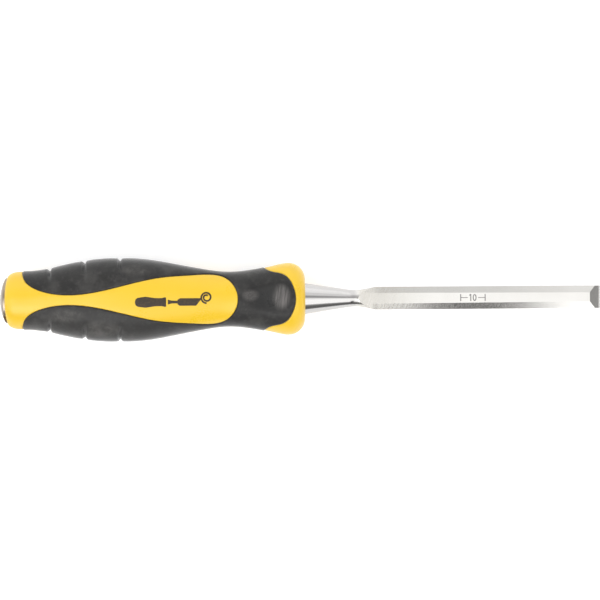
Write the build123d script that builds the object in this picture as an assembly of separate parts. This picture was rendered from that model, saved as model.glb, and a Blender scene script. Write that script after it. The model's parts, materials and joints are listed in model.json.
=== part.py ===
from build123d import *

import math
import os

# Bevel-edge bench chisel: a 10 mm blade in a two-material striking handle.
#
# Four pieces: a forged blade with its neck and tang in one, a hard moulded core, a soft moulded grip that
# lies in pockets of the core, and a domed steel strike cap pressed into the butt.
#
# Each piece is drawn in the tool's own frame, in millimetres. X runs along the axis from the crown of the
# strike cap to the cutting edge, Y across the blade, and Z out of the bevelled face. The last step lays the
# tool on its back on the bench, z = 0, where the belly and the collar of the handle carry it and the blade
# hangs clear.

# Driving dimensions of the tool
OVERALL_LENGTH = 264.0
HANDLE_LENGTH = 133.0
BLADE_WIDTH = 10.0

# Blade: its two flats, side bevels and cutting bevel
BACK_DROP = 2.2
FRONT_FLAT_WIDTH = 4.7
SHOULDER_X = HANDLE_LENGTH + 32.0
SHOULDER_THICKNESS = 4.2
HEEL_THICKNESS = 2.45
SIDE_BEVEL_ANGLE = 21.0
GRIND_ANGLE = 25.0
HONE_ANGLE = 30.0
HONE_LENGTH = 0.9
FRONT_RUNOUT_RADIUS = 25.0
BEVEL_RUNOUT_RADIUS = 22.0
BACK_RUNOUT_RADIUS = 30.0
RUNOUT_CLIMB = 45.0

# Neck: (distance from the handle's face, radius) as it narrows and then flares into the blade
NECK_RADIUS_AT_HANDLE = 6.9
NECK_CONE_LENGTH = 16.0
NECK_CONE_RADIUS = 4.36
NECK_FLARE = [(22.9, 3.68), (27.0, 4.25), (30.8, 5.1), (35.0, 6.5)]
NECK_FLARE_END_SLOPE = 0.4

# Bolster and tang, both inside the handle
BOLSTER_DEPTH = 5.5
BOLSTER_COVER = 1.0
BOLSTER_RADIUS = 7.6
TANG_LENGTH = 68.0
TANG_SIDE_FRONT = 8.4
TANG_SIDE_END = 5.0
TANG_NOTCHES = 4
TANG_NOTCH_PITCH = 12.0
TANG_NOTCH_RADIUS = 1.5

# Hard body of the handle: (distance from the crown, half width, half depth, squareness)
HANDLE_STATIONS = [
    (8.5, 12.6, 12.1, 2.0),
    (15.7, 12.9, 12.2, 2.05),
    (26.3, 14.95, 13.4, 2.2),
    (39.4, 17.4, 15.1, 2.3),
    (50.6, 18.1, 15.7, 2.35),
    (63.7, 17.5, 15.3, 2.35),
    (76.9, 15.25, 13.7, 2.3),
    (89.0, 13.0, 12.1, 2.25),
    (99.1, 11.85, 11.2, 2.2),
    (109.2, 12.65, 11.8, 2.2),
    (119.3, 14.65, 13.2, 2.2),
    (125.9, 15.8, 14.1, 2.2),
]
BUTT_FACE_X = 3.5
BUTT_FACE_RADIUS = 10.2
COLLAR_FACE_HALVES = (8.7, 8.3)
END_STEPS = 4
STATION_STEP = 6.0
QUARTER_STEPS = 4

# Soft grip: how far it stands proud of the hard body and how deep its pocket is
GRIP_PROUD = 0.3
GRIP_DEPTH = 1.2
# Plan line, on the +Y side, between the grip and the bare strip that widens into the window
WINDOW_EDGE = [
    (9.1, 13.8),
    (10.4, 11.3),
    (12.2, 8.2),
    (15.3, 5.7),
    (20.8, 3.5),
    (30.8, 2.15),
    (43.6, 3.4),
    (58.6, 6.95),
    (71.2, 9.55),
    (84.0, 10.55),
]
WINDOW_EDGE_HEADINGS = [(0.5, -1), (1, 0)]
WINDOW_END_X = 103.8
WINDOW_END_RADIUS = 10.7
# Plan line, on the +Y side, of the rounded tab that the grip ends in under the thumb
TAB_EDGE = [(113.5, 15.9), (115.5, 13.6), (118.6, 11.95), (122.0, 11.25), (125.0, 9.7), (127.4, 6.3)]
TAB_EDGE_HEADINGS = [(0.8, -1), (0, -1)]
TAB_END_X = 128.9

# Grooves across the sides of the grip
GROOVE_X = (21.5, 36.8, 52.1)
GROOVE_WIDTH = 1.1
GROOVE_DEPTH = 0.9
GROOVE_REACH = 5.5
GROOVE_LEAN = 12.0

# Thumb dishes, front and back
DISH_X = 116.8
DISH_HALF_LENGTH = 10.6
DISH_HALF_WIDTH = 8.1
DISH_DEPTH = 1.0
DISH_CROWN = 3.0

# Strike cap, and the spigot that holds it in the core
CAP_RADIUS = 9.9
CAP_CROWN_RADIUS = 21.0
CAP_SEAT_X = 4.2
CAP_EDGE_RADIUS = 0.5
SPIGOT_RADIUS = 4.0
SPIGOT_LENGTH = 16.0
SPIGOT_BARBS = 4
SPIGOT_BARB_HEIGHT = 0.5

# Longer than any part, for cutters that pass right through
FAR = 60.0
# Fineness of the search for the tilt that the tool rests at
TILT_SAMPLES = 400
TILT_ROUNDS = 4


def station_values(x):
    """Half width, half depth and squareness of the hard body at x, by cubic curves through the stations."""
    stations = HANDLE_STATIONS
    last = len(stations) - 1
    k = max([i for i in range(last) if stations[i][0] <= x], default=0)
    span = stations[k + 1][0] - stations[k][0]
    t = (x - stations[k][0]) / span

    def slope(i, column):
        if i in (0, last):
            return 0.0
        before = stations[i - 1]
        after = stations[i + 1]
        return (after[column] - before[column]) / (after[0] - before[0])

    values = []
    for column in (1, 2, 3):
        start = stations[k][column] * (2 * t**3 - 3 * t**2 + 1)
        end = stations[k + 1][column] * (3 * t**2 - 2 * t**3)
        rise_start = slope(k, column) * span * (t**3 - 2 * t**2 + t)
        rise_end = slope(k + 1, column) * span * (t**3 - t**2)
        values.append(start + rise_start + end + rise_end)
    return values


def body_sections():
    """Sections of the hard body from butt to collar, each (x, half width, half depth, squareness)."""
    first = HANDLE_STATIONS[0]
    last = HANDLE_STATIONS[-1]
    quarter = math.pi / 2
    sections = []
    for i in range(END_STEPS, 0, -1):
        turn = quarter * i / END_STEPS
        x = first[0] - (first[0] - BUTT_FACE_X) * math.sin(turn)
        halves = [BUTT_FACE_RADIUS + (half - BUTT_FACE_RADIUS) * math.cos(turn) for half in first[1:3]]
        sections.append((x, *halves, first[3]))
    steps = round((last[0] - first[0]) / STATION_STEP)
    for i in range(steps + 1):
        x = first[0] + (last[0] - first[0]) * i / steps
        sections.append((x, *station_values(x)))
    for i in range(1, END_STEPS + 1):
        turn = quarter * i / END_STEPS
        x = last[0] + (HANDLE_LENGTH - last[0]) * math.sin(turn)
        halves = [face + (half - face) * math.cos(turn) for half, face in zip(last[1:3], COLLAR_FACE_HALVES)]
        sections.append((x, *halves, 2 + (last[3] - 2) * math.cos(turn)))
    return sections


def section_wire(x, half_width, half_depth, squareness):
    """One rounded-oval section, square to the axis, as four quarter curves that meet on the Y and Z axes."""
    power = 2 / squareness
    quarters = []
    for quarter in range(4):
        points = []
        for i in range(QUARTER_STEPS + 1):
            turn = math.pi / 2 * (quarter + i / QUARTER_STEPS)
            across = half_width * math.copysign(abs(math.cos(turn)) ** power, math.cos(turn))
            up = half_depth * math.copysign(abs(math.sin(turn)) ** power, math.sin(turn))
            points.append(Vector(x, across, up))
        headings = [math.pi / 2 * turns for turns in (quarter, quarter + 1)]
        tangents = [Vector(0, -math.sin(heading), math.cos(heading)) for heading in headings]
        quarters.append(Edge.make_spline(points, tangents=tangents))
    return Wire(quarters)


def body_solid(grow=0.0):
    """The hard body's outer shape, grown by a given amount, or shrunk where the amount is negative."""
    return Solid.make_loft([section_wire(x, w + grow, d + grow, n) for x, w, d, n in body_sections()])


def grip_plan():
    """Plan of the grip: the handle without the bare butt, strip and window, and without the bare collar."""
    end_centre = WINDOW_END_X - WINDOW_END_RADIUS
    window_edge = Spline([*WINDOW_EDGE, (end_centre, WINDOW_END_RADIUS)], tangents=WINDOW_EDGE_HEADINGS)
    window_end = ThreePointArc(
        (end_centre, WINDOW_END_RADIUS), (WINDOW_END_X, 0), (end_centre, -WINDOW_END_RADIUS)
    )
    tab_edge = Spline([*TAB_EDGE, (TAB_END_X, 0)], tangents=TAB_EDGE_HEADINGS)
    side = Line(WINDOW_EDGE[0], (WINDOW_EDGE[0][0], FAR))
    far_side = Line((WINDOW_EDGE[0][0], FAR), (TAB_EDGE[0][0], FAR))
    near_side = Line((TAB_EDGE[0][0], FAR), TAB_EDGE[0])
    upper = [window_edge, side, far_side, near_side, tab_edge]
    return make_face([*upper, window_end, *[mirror(edge, Plane.XZ) for edge in upper]])


def grip_prism():
    """Everything above and below the grip's plan."""
    return extrude(grip_plan(), FAR, both=True)


def groove_cutters():
    """One slot for each groove, long enough to cross the side of the grip from front to back."""
    cutters = []
    for x in GROOVE_X:
        half_width = station_values(x)[0] + GRIP_PROUD
        for side in (1, -1):
            slot = Box(GROOVE_WIDTH, 2 * GROOVE_REACH, 2 * FAR)
            cutters.append(Pos(x, side * half_width, 0) * Rot(0, 0, side * GROOVE_LEAN) * slot)
    return cutters


def thumb_dish(side):
    """A flat ellipsoid that sinks the thumb dish into the front (side = 1) or the back (side = -1)."""
    widen = 1 / math.sqrt(1 - (1 - DISH_DEPTH / DISH_CROWN) ** 2)
    bowl = scale(Sphere(1.0), by=(DISH_HALF_LENGTH * widen, DISH_HALF_WIDTH * widen, DISH_CROWN))
    behind = station_values(DISH_X - DISH_HALF_LENGTH)[1]
    ahead = station_values(DISH_X + DISH_HALF_LENGTH)[1]
    slope = math.degrees(math.atan2(ahead - behind, 2 * DISH_HALF_LENGTH))
    surface = (behind + ahead) / 2 + GRIP_PROUD
    height = surface + DISH_CROWN - DISH_DEPTH
    return Pos(DISH_X, 0, side * height) * Rot(0, -side * slope, 0) * bowl


def soft_grip():
    grip = (body_solid(GRIP_PROUD) - body_solid(-GRIP_DEPTH)) & grip_prism()
    groove_floor = body_solid(GRIP_PROUD - GROOVE_DEPTH)
    for cutter in groove_cutters():
        grip = grip - (cutter - groove_floor)
    for side in (1, -1):
        grip = grip - thumb_dish(side)
    return grip


def handle_core(blade_piece, cap_piece):
    """The hard body, less the pocket under the grip, the socket that the tang fills and the cap's seat."""
    pocket = (body_solid(2 * GRIP_DEPTH) - body_solid(-GRIP_DEPTH)) & grip_prism()
    return body_solid() - pocket - blade_piece - cap_piece


def crown_x(radius):
    """Distance of the cap's crown surface behind its apex, at a radius from the axis."""
    return CAP_CROWN_RADIUS - math.sqrt(CAP_CROWN_RADIUS**2 - radius**2)


def strike_cap():
    """A domed disc with a barbed spigot."""
    rim_x = crown_x(CAP_RADIUS)
    pitch = SPIGOT_LENGTH / (SPIGOT_BARBS + 1)
    crown = ThreePointArc((0, 0), (crown_x(CAP_RADIUS / 2), CAP_RADIUS / 2), (rim_x, CAP_RADIUS))
    outline = [(rim_x, CAP_RADIUS), (CAP_SEAT_X, CAP_RADIUS), (CAP_SEAT_X, SPIGOT_RADIUS)]
    for i in range(1, SPIGOT_BARBS + 1):
        barb_x = CAP_SEAT_X + pitch * i
        outline.append((barb_x, SPIGOT_RADIUS))
        outline.append((barb_x, SPIGOT_RADIUS + SPIGOT_BARB_HEIGHT))
    end_x = CAP_SEAT_X + SPIGOT_LENGTH
    outline += [(end_x, SPIGOT_RADIUS), (end_x, 0), (0, 0)]
    cap = revolve(make_face([crown, Polyline(outline)]), Axis.X)
    rim = [e for e in cap.edges().filter_by(GeomType.CIRCLE) if abs(e.radius - CAP_RADIUS) < 0.01]
    return fillet(min(rim, key=lambda e: e.center(CenterOf.BOUNDING_BOX).X), CAP_EDGE_RADIUS)


def blade_stock():
    """Bolster, tapering neck and the flare that the blade is ground from, all round."""
    bolster_x = HANDLE_LENGTH - BOLSTER_DEPTH
    cone_end = (HANDLE_LENGTH + NECK_CONE_LENGTH, NECK_CONE_RADIUS)
    cone_slope = (NECK_CONE_RADIUS - NECK_RADIUS_AT_HANDLE) / NECK_CONE_LENGTH
    flare_points = [(HANDLE_LENGTH + along, radius) for along, radius in NECK_FLARE]
    flare = Spline([cone_end, *flare_points], tangents=[(1, cone_slope), (1, NECK_FLARE_END_SLOPE)])
    widest = flare_points[-1]
    rear = Polyline(
        (bolster_x, 0),
        (bolster_x, BOLSTER_RADIUS),
        (HANDLE_LENGTH - BOLSTER_COVER, BOLSTER_RADIUS),
        (HANDLE_LENGTH - BOLSTER_COVER, NECK_RADIUS_AT_HANDLE - cone_slope * BOLSTER_COVER),
        cone_end,
    )
    front = Polyline(widest, (OVERALL_LENGTH, widest[1]), (OVERALL_LENGTH, 0), (bolster_x, 0))
    return revolve(make_face([rear, flare, front]), Axis.X)


def grind(start_x, start_z, slope, radius):
    """What a grinding wheel removes above a plane that runs from start_x to the tip, and above its run-out.

    The plane falls or rises by slope towards the tip. Behind start_x it climbs out of the steel in an arc.
    """
    lean = math.atan(slope)
    climb = math.radians(RUNOUT_CLIMB)
    centre = (start_x - radius * math.sin(lean), start_z + radius * math.cos(lean))

    def on_arc(turn):
        return (centre[0] + radius * math.sin(lean - turn), centre[1] - radius * math.cos(lean - turn))

    end_x = OVERALL_LENGTH + FAR
    end = (end_x, start_z + slope * (end_x - start_x))
    arc = ThreePointArc(on_arc(climb), on_arc(climb / 2), (start_x, start_z))
    rest = Polyline((start_x, start_z), end, (end_x, FAR), (on_arc(climb)[0], FAR), on_arc(climb))
    return Rot(90, 0, 0) * extrude(make_face([arc, rest]), FAR, both=True)


def cutting_bevels():
    """The ground and honed facets that meet the back in the cutting edge."""
    hone_rise = HONE_LENGTH * math.tan(math.radians(HONE_ANGLE))
    grind_length = FAR * math.cos(math.radians(GRIND_ANGLE))
    grind_rise = FAR * math.sin(math.radians(GRIND_ANGLE))
    edge = (OVERALL_LENGTH, -BACK_DROP)
    hone_top = (OVERALL_LENGTH - HONE_LENGTH, hone_rise - BACK_DROP)
    grind_top = (hone_top[0] - grind_length, hone_top[1] + grind_rise)
    beyond = OVERALL_LENGTH + FAR
    outline = Polyline(edge, hone_top, grind_top, (beyond, FAR), (beyond, -FAR), edge)
    return Rot(90, 0, 0) * extrude(make_face(outline), FAR, both=True)


def tang():
    """A square taper with rounded notches that the moulded core grips."""
    front_x = HANDLE_LENGTH - BOLSTER_DEPTH
    facing_back = Plane(origin=(front_x, 0, 0), x_dir=(0, 1, 0), z_dir=(-1, 0, 0))
    front = facing_back * Rectangle(TANG_SIDE_FRONT, TANG_SIDE_FRONT)
    end = facing_back.offset(TANG_LENGTH) * Rectangle(TANG_SIDE_END, TANG_SIDE_END)
    taper = loft([front.face(), end.face()])
    for i in range(TANG_NOTCHES):
        along = TANG_NOTCH_PITCH * (i + 1)
        half_side = (TANG_SIDE_FRONT + (TANG_SIDE_END - TANG_SIDE_FRONT) * along / TANG_LENGTH) / 2
        for side in (1, -1):
            notch = Rot(90, 0, 0) * Cylinder(TANG_NOTCH_RADIUS, FAR)
            taper -= Pos(front_x - along, 0, side * (half_side + TANG_NOTCH_RADIUS / 2)) * notch
    return taper


def blade():
    """Ground from its round stock: two flats, two side bevels, square sides and the cutting edge."""
    heel_run = (HEEL_THICKNESS - HONE_LENGTH * math.tan(math.radians(HONE_ANGLE))) / math.tan(
        math.radians(GRIND_ANGLE)
    )
    heel_x = OVERALL_LENGTH - HONE_LENGTH - heel_run
    front_slope = (HEEL_THICKNESS - SHOULDER_THICKNESS) / (heel_x - SHOULDER_X)
    front_z = SHOULDER_THICKNESS - BACK_DROP
    piece = blade_stock()
    piece -= grind(SHOULDER_X, front_z, front_slope, FRONT_RUNOUT_RADIUS)
    piece -= Rot(180, 0, 0) * grind(SHOULDER_X, BACK_DROP, 0, BACK_RUNOUT_RADIUS)
    for side in (1, -1):
        bevel = Rot(-side * SIDE_BEVEL_ANGLE, 0, 0) * grind(SHOULDER_X, 0, front_slope, BEVEL_RUNOUT_RADIUS)
        piece -= Pos(0, side * FRONT_FLAT_WIDTH / 2, front_z) * bevel
        beside = Box(OVERALL_LENGTH, FAR, 2 * FAR, align=(Align.MIN, Align.MIN, Align.CENTER))
        if side < 0:
            beside = mirror(beside, Plane.XZ)
        piece -= Pos(HANDLE_LENGTH + NECK_CONE_LENGTH, side * BLADE_WIDTH / 2, 0) * beside
    piece -= cutting_bevels()
    return piece + tang()


def resting_tilt():
    """Tilt about Y, in radians, that puts the belly and the collar of the handle on one level."""
    start = HANDLE_STATIONS[0][0]
    span = HANDLE_STATIONS[-1][0] - start
    profile = [start + span * i / TILT_SAMPLES for i in range(TILT_SAMPLES + 1)]
    profile = [(x, station_values(x)[1]) for x in profile]
    angle = 0.0
    for _ in range(TILT_ROUNDS):
        reach = [(x * math.sin(angle) + depth * math.cos(angle), x, depth) for x, depth in profile]
        belly = max(point for point in reach if point[1] < WINDOW_END_X)
        collar = max(point for point in reach if point[1] > WINDOW_END_X)
        angle = math.atan2(belly[2] - collar[2], collar[1] - belly[1])
    return angle


def laid_down(pieces):
    """The pieces where they are when the tool lies on its back on the bench, centred over the origin."""
    tilt = Rot(0, math.degrees(resting_tilt()), 0)
    turned = {name: tilt * piece for name, piece in pieces.items()}
    boxes = [piece.bounding_box() for piece in turned.values()]
    middle = (min(box.min.X for box in boxes) + max(box.max.X for box in boxes)) / 2
    bench = min(box.min.Z for box in boxes)
    place = Pos(-middle, 0, -bench)
    crown = (place * tilt).position
    print(f"tilt {math.degrees(resting_tilt()):.4f} degrees; crown at x {crown.X:.4f}, z {crown.Z:.4f} mm")
    return {name: place * piece for name, piece in turned.items()}


if __name__ == "__main__":
    os.makedirs("parts", exist_ok=True)
    blade_piece = blade()
    cap_piece = strike_cap()
    pieces = {
        "blade": blade_piece,
        "handle_core": handle_core(blade_piece, cap_piece),
        "soft_grip": soft_grip(),
        "strike_cap": cap_piece,
    }
    for name, piece in laid_down(pieces).items():
        export_step(piece, f"parts/{name}.step")
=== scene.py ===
import functools
import json
import math

import bmesh
import bpy
import numpy as np
from mathutils import Matrix, Vector
from mathutils.geometry import delaunay_2d_cdt


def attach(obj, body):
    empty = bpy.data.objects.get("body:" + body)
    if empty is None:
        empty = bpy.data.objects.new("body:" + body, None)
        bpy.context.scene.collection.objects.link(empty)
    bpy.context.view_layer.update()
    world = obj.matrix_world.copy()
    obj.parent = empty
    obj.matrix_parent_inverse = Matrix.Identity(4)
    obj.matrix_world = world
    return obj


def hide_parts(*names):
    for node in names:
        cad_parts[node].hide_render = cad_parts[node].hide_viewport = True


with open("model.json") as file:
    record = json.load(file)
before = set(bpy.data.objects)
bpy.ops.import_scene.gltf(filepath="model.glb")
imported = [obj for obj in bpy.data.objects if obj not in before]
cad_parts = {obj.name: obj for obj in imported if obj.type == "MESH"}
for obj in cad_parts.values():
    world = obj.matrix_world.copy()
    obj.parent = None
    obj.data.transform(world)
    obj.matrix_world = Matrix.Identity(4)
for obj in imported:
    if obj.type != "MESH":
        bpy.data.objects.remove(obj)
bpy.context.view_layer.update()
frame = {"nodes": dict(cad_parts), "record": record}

# The looks of a 10 mm bevel-edge bench chisel.
#
# Pieces are drawn in the tool's own frame, in millimetres: X runs along the axis from the crown of the
# strike cap to the cutting edge, Y across the blade and Z out of the bevelled face. The record's mount
# strike_face says where that frame lies in the row's frame.

MM = 0.001

# Distance from the crown of the strike cap to the face of the handle's collar
HANDLE_LENGTH = 133.0

# Hard body of the handle: distance from the crown, half width, half depth, squareness
HANDLE_STATIONS = np.array(
    [
        (8.5, 12.6, 12.1, 2.0),
        (15.7, 12.9, 12.2, 2.05),
        (26.3, 14.95, 13.4, 2.2),
        (39.4, 17.4, 15.1, 2.3),
        (50.6, 18.1, 15.7, 2.35),
        (63.7, 17.5, 15.3, 2.35),
        (76.9, 15.25, 13.7, 2.3),
        (89.0, 13.0, 12.1, 2.25),
        (99.1, 11.85, 11.2, 2.2),
        (109.2, 12.65, 11.8, 2.2),
        (119.3, 14.65, 13.2, 2.2),
        (125.9, 15.8, 14.1, 2.2),
    ]
)
# Its flat ends: where the butt's is and its radius, and the collar's half width and half depth
BUTT_FACE_X = 3.5
BUTT_FACE_RADIUS = 10.2
COLLAR_FACE_HALVES = (8.7, 8.3)
# Number of closely spaced sections drawn through the stations
RING_SAMPLES = 1200

# Line between the grip and the bare strip and window, on one side, seen from the front
WINDOW_EDGE = [
    (9.1, 13.8),
    (10.4, 11.3),
    (12.2, 8.2),
    (15.3, 5.7),
    (20.8, 3.5),
    (30.8, 2.15),
    (43.6, 3.4),
    (58.6, 6.95),
    (71.2, 9.55),
    (84.0, 10.55),
]
WINDOW_END_X = 103.8
WINDOW_END_RADIUS = 10.7
# Line between the grip's rounded tab and the bare collar
TAB_EDGE = [(113.5, 15.9), (115.5, 13.6), (118.6, 11.95), (122.0, 11.25), (125.0, 9.7), (127.4, 6.3)]
TAB_END_X = 128.9

# Height of the grip over the hard body's outer shape, and depth of its pocket under it
GRIP_PROUD = 0.27
POCKET_DEPTH = 1.2
# How far the edges of the grip and of the bare core roll down, and over what width
GRIP_EDGE_DROP = 0.75
GRIP_EDGE_RADIUS = 0.75
CORE_EDGE_DROP = 0.45
CORE_EDGE_RADIUS = 0.45

# Bores of the core, from the mouth inwards: distance from the crown, radius. The first takes the strike
# cap's seat and spigot, the other the blade's neck, bolster and tang.
CAP_BORE = [(BUTT_FACE_X, 10.0), (4.2, 9.95), (4.2, 4.6), (20.3, 4.6), (20.3, 0.0)]
TANG_BORE = [
    (HANDLE_LENGTH, 6.95),
    (132.0, 6.95),
    (132.0, 7.65),
    (127.4, 7.65),
    (127.4, 6.1),
    (59.4, 3.7),
    (59.4, 0.0),
]

# Grooves across the sides of the grip: distance from the crown, how far they sweep towards the blade
GROOVES = [(21.4, 2.2), (36.7, 2.4), (52.1, 2.9)]
GROOVE_DEPTH = 1.25
GROOVE_HALF_WIDTH = 1.4
# How far a groove reaches up the map from the side, the share of that over which it fades out, and the
# width beside the grip's edges where it also does
GROOVE_REACH = 16.0
GROOVE_FADE = 0.45
GROOVE_EDGE_FADE = 1.5
# The wider, shallow hollow around each groove, which leaves the grip a little pillowed between them
PILLOW_DEPTH = 0.16
PILLOW_HALF_WIDTH = 4.2

# Thumb dish: its middle and size, and its floor's depth, lean, radii along and across, and extra rise at
# the ends. The rim is rounded over about DISH_RIM.
DISH_X = 116.8
DISH_HALF_LENGTH = 10.4
DISH_HALF_WIDTH = 7.5
DISH_DEPTH = 1.0
DISH_SLOPE = 0.1
DISH_RADII = (110.0, 140.0)
DISH_END_RISE = 0.85
DISH_RIM = 0.1

# The flat map of a quarter of the handle that its mesh is made on: height of the map, and spacings
MAP_HEIGHT = 24.0
PLAN_STEP = 0.02
LINE_STEP = 0.36
GRID_STEP = 0.8
BORDER_STEP = 0.62
# Distances from the boundary lines and from the grooves of the rows of points beside them, and the least
# gaps left between such rows and other points
EDGE_ROWS = (0.03, 0.1, 0.2, 0.34, 0.52, 0.75, 1.05)
GROOVE_ROWS = (0.0, 0.25, 0.5, 0.8, 1.15, 1.5)
NARROW_GAP = 0.2
WIDE_GAP = 0.25
# Share of its distance from a line that a row has to keep from every line
ROW_KEEP = 0.9
# Distances on the map within which the triangulation merges points, a point is on a line or snaps to a
# border, and a point is on a border
MERGE = 1e-5
SNAP = 1e-4
TINY = 1e-6


def tool_matrix():
    """From the tool's frame, in millimetres, to the row's frame, in metres."""
    strike_face = next(m for m in frame["record"]["mounts"] if m["name"] == "strike_face")
    along = -Vector(strike_face["axis"]).normalized()
    across = Vector((0, 1, 0))
    out = along.cross(across)
    turned = Matrix((along, across, out)).transposed().to_4x4()
    return Matrix.Translation(Vector(strike_face["pos_m"])) @ turned @ Matrix.Scale(MM, 4)


TOOL = tool_matrix()


# Curves


def spline(knots, values, places, flat_ends=False):
    """The cubic spline through values at knots, read at places. Flat ends are level, others straight."""
    knots, values, places = (np.asarray(a, float) for a in (knots, values, places))
    step = np.diff(knots)
    slope = np.diff(values) / step
    count = len(knots)
    system = np.eye(count)
    right = np.zeros(count)
    for i in range(1, count - 1):
        system[i, i - 1 : i + 2] = step[i - 1], 2 * (step[i - 1] + step[i]), step[i]
        right[i] = 6 * (slope[i] - slope[i - 1])
    if flat_ends:
        system[0, :2] = 2 * step[0], step[0]
        system[-1, -2:] = step[-1], 2 * step[-1]
        right[0] = 6 * slope[0]
        right[-1] = -6 * slope[-1]
    bend = np.linalg.solve(system, right)
    k = np.clip(np.searchsorted(knots, places) - 1, 0, count - 2)
    t = places - knots[k]
    first = slope[k] - step[k] * (2 * bend[k] + bend[k + 1]) / 6
    return values[k] + t * first + t**2 * bend[k] / 2 + t**3 * (bend[k + 1] - bend[k]) / (6 * step[k])


def run_length(points):
    """Distance along a line of points from its first one, at each point."""
    return np.concatenate([[0.0], np.cumsum(np.linalg.norm(np.diff(points, axis=0), axis=1))])


def smooth_line(points, step):
    """A spline through plan points, sampled about every step."""
    points = np.asarray(points, float)
    length = run_length(points)
    places = np.linspace(0, length[-1], round(length[-1] / step) + 1)
    return np.column_stack([spline(length, points[:, axis], places) for axis in (0, 1)])


def resampled(points, step):
    """The same line with its points evenly spaced, about a step apart."""
    length = run_length(points)
    places = np.linspace(0, length[-1], round(length[-1] / step) + 1)
    return np.column_stack([np.interp(places, length, points[:, axis]) for axis in (0, 1)])


# The handle's outer shape


def handle_rings():
    """Closely spaced sections from butt face to collar face: x, half width, half depth, squareness."""
    first, last = HANDLE_STATIONS[0], HANDLE_STATIONS[-1]
    quarter = np.linspace(0, math.pi / 2, RING_SAMPLES // 8)[:, None]
    butt = np.column_stack(
        [
            first[0] - (first[0] - BUTT_FACE_X) * np.sin(quarter),
            BUTT_FACE_RADIUS + (first[1:3] - BUTT_FACE_RADIUS) * np.cos(quarter),
            np.full_like(quarter, first[3]),
        ]
    )
    x = np.linspace(first[0], last[0], RING_SAMPLES)
    middle = [spline(HANDLE_STATIONS[:, 0], HANDLE_STATIONS[:, i], x, flat_ends=True) for i in (1, 2, 3)]
    face = np.array(COLLAR_FACE_HALVES)
    collar = np.column_stack(
        [
            last[0] + (HANDLE_LENGTH - last[0]) * np.sin(quarter),
            face + (last[1:3] - face) * np.cos(quarter),
            2 + (last[3] - 2) * np.cos(quarter),
        ]
    )
    return np.vstack([butt[:0:-1], np.column_stack([x, *middle]), collar[1:]])


RINGS = handle_rings()
RING_PLACES = run_length(np.column_stack([RINGS[:, 0], RINGS[:, 1:3].mean(axis=1)]))
MAP_LENGTH = RING_PLACES[-1]


def section_at(u):
    """x, half width, half depth and squareness where the map's first coordinate is u."""
    return [np.interp(u, RING_PLACES, RINGS[:, i]) for i in range(4)]


def shape_point(u, v):
    """Points of the hard body's outer shape at places on the map, where v runs from side to front."""
    x, half_width, half_depth, squareness = section_at(u)
    turn = v / MAP_HEIGHT * math.pi / 2
    across, up = np.cos(turn), np.sin(turn)
    stretch = np.abs(across / half_width) ** squareness + np.abs(up / half_depth) ** squareness
    radius = stretch ** (-1 / squareness)
    return np.column_stack([x, radius * across, radius * up])


def shape_normal(u, v, reach=0.02):
    """Outward unit normals of the outer shape."""
    ahead, behind = (np.clip(u + step, 0, MAP_LENGTH) for step in (reach, -reach))
    along = shape_point(ahead, v) - shape_point(behind, v)
    round_it = shape_point(u, v + reach) - shape_point(u, v - reach)
    normal = np.cross(round_it, along)
    return normal / np.linalg.norm(normal, axis=1)[:, None]


def plan_to_map(points):
    """Places on the map of points seen from the front, on the +Y side, and which are within the outline."""
    u = np.interp(points[:, 0], RINGS[:, 0], RING_PLACES)
    _, half_width, half_depth, squareness = section_at(u)
    share = np.clip(points[:, 1] / half_width, 0, 1)
    up = half_depth * (1 - share**squareness) ** (1 / squareness)
    v = np.arctan2(up, points[:, 1]) * 2 / math.pi * MAP_HEIGHT
    return np.column_stack([u, v]), (points[:, 1] < half_width) & (points[:, 1] > 0)


def boundary_lines():
    """On the map, the window's edge and the tab's edge, each from the side to the front."""
    centre = WINDOW_END_X - WINDOW_END_RADIUS
    # Both lines run on past the middle, so that their splines meet it squarely
    turns = np.radians([90, 60, 30, 0, -30])
    end = np.column_stack([centre + WINDOW_END_RADIUS * np.cos(turns), WINDOW_END_RADIUS * np.sin(turns)])
    beyond_tab = [(TAB_END_X, 0), (TAB_EDGE[-1][0], -TAB_EDGE[-1][1])]
    lines = []
    for plan, end_x in (([*WINDOW_EDGE, *end], WINDOW_END_X), ([*TAB_EDGE, *beyond_tab], TAB_END_X)):
        inner, within = plan_to_map(smooth_line(plan, PLAN_STEP))
        inner = inner[within]
        start_u = inner[0, 0]
        end_u = np.interp(end_x, RINGS[:, 0], RING_PLACES)
        lines.append(resampled(np.vstack([(start_u, 0), inner, (end_u, MAP_HEIGHT)]), LINE_STEP))
    return lines


WINDOW_LINE, TAB_LINE = boundary_lines()


def groove_lines():
    """On the map, each groove's line from the side towards the front."""
    lines = []
    for x, sweep in GROOVES:
        share = np.linspace(0, 1, round(GROOVE_REACH / LINE_STEP) + 1)
        u = np.interp(x, RINGS[:, 0], RING_PLACES) + sweep * share**2
        lines.append(np.column_stack([u, share * GROOVE_REACH]))
    return lines


GROOVE_LINES = groove_lines()


def distance(points, lines):
    """Distance on the map from each point to the nearest of some lines."""
    nearest = np.full(len(points), np.inf)
    for line in lines:
        for a, b in zip(line[:-1], line[1:]):
            ab = b - a
            share = np.clip((points - a) @ ab / (ab @ ab), 0, 1)
            nearest = np.minimum(nearest, np.linalg.norm(points - a - share[:, None] * ab, axis=1))
    return nearest


def in_grip(points):
    """Whether places on the map lie on the grip's side of both boundary lines."""
    u, v = points.T
    before_window_end = (u > WINDOW_LINE[0, 0]) & (u < WINDOW_LINE[-1, 0])
    outside_window = before_window_end & (v < np.interp(u, *WINDOW_LINE.T))
    ahead = (u >= WINDOW_LINE[-1, 0]) & (u < TAB_LINE[-1, 0])
    return outside_window | (ahead & (v > np.interp(u, *TAB_LINE.T, left=-1)))


# The map's mesh


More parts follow.
